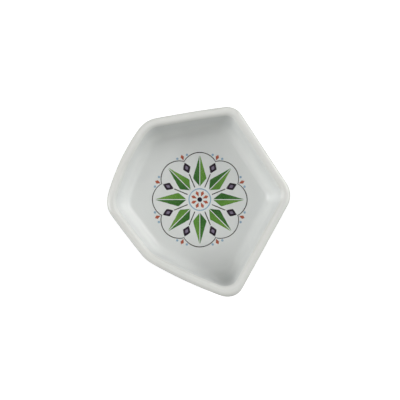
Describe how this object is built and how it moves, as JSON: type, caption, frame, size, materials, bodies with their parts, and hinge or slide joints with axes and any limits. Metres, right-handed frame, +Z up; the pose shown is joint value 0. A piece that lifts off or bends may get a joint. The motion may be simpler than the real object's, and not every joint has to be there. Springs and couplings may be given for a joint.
{
  "type": "olive dish",
  "caption": "Small white glazed porcelain condiment dish with a rounded irregular six-sided plan, thick rim, concave flared walls, flat floor with a coloured star medallion and a bare foot ring.",
  "frame": {"origin": "centre of the plan's bounding box, on the table under the foot ring", "axes": "+Z up out of the open top, +Y along the longer side of the plan towards the rear right corner, +X to the right"},
  "size_m": [0.1251, 0.1297, 0.032],
  "materials": {
    "bare_porcelain": "matt fired clay, bare on the foot ring",
    "white_glaze": "glossy off-white glaze with faint orange peel",
    "dark_green_enamel": "glossy fired-on colour with brush shading",
    "light_green_enamel": "glossy fired-on colour with brush shading",
    "brown_enamel": "glossy fired-on colour, thin lines",
    "purple_enamel": "glossy fired-on colour with mottling",
    "lilac_enamel": "glossy fired-on colour, light lozenges",
    "terracotta_enamel": "glossy fired-on colour with brush shading",
    "blue_enamel": "glossy fired-on colour, thin wash"
  },
  "bodies": {
    "root": {"dish_body": "bare_porcelain", "glaze_coat": "white_glaze", "base_glaze": "white_glaze", "print_dark_green": "dark_green_enamel", "print_light_green": "light_green_enamel", "print_brown_lines": "brown_enamel", "print_purple_lozenges": "purple_enamel", "print_lilac_lozenges": "lilac_enamel", "print_terracotta": "terracotta_enamel", "print_pale_blue": "blue_enamel"}
  },
  "joints": []
}
